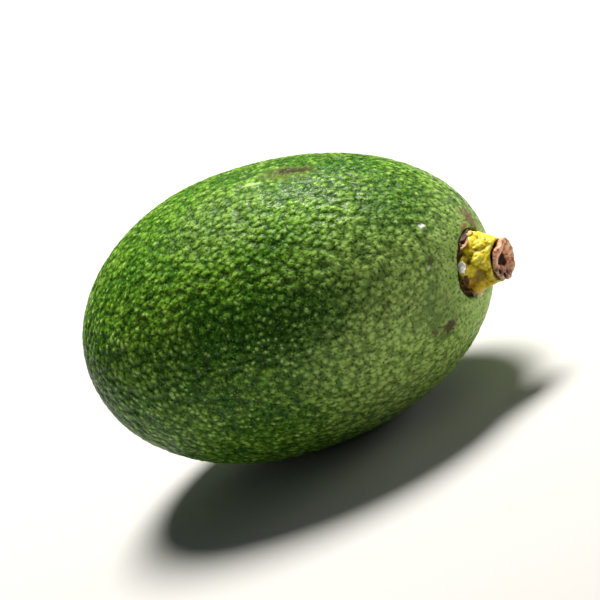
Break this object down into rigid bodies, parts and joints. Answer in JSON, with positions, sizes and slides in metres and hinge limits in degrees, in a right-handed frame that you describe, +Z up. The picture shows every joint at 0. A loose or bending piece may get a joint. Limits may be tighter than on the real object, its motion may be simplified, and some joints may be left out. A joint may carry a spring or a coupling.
{
  "type": "avocado",
  "caption": "Whole green avocado with pebbled skin, lying on its side on a small flat, with a yellow stem stub, its dry broken end and a ragged ring at its base.",
  "frame": {"origin": "on the surface that the fruit lies on, under the middle of the part's box", "axes": "+X along the fruit's long axis towards its stem, +Z up, +Y across the fruit"},
  "size_m": [0.0936, 0.0562, 0.0558],
  "materials": {
    "avocado_skin": "satin, waxy pebbled fruit skin with paler green dots",
    "stem_flesh": "lumpy yellow stem flesh, slightly glossy",
    "dry_stem_end": "dry matte reddish brown",
    "dry_torn_skin": "dry matte dark brown with paler torn edges"
  },
  "bodies": {
    "root": {"fruit": "avocado_skin", "stem": "stem_flesh", "stem_end_cup": "dry_stem_end", "stem_base_ring": "dry_torn_skin"}
  },
  "joints": []
}
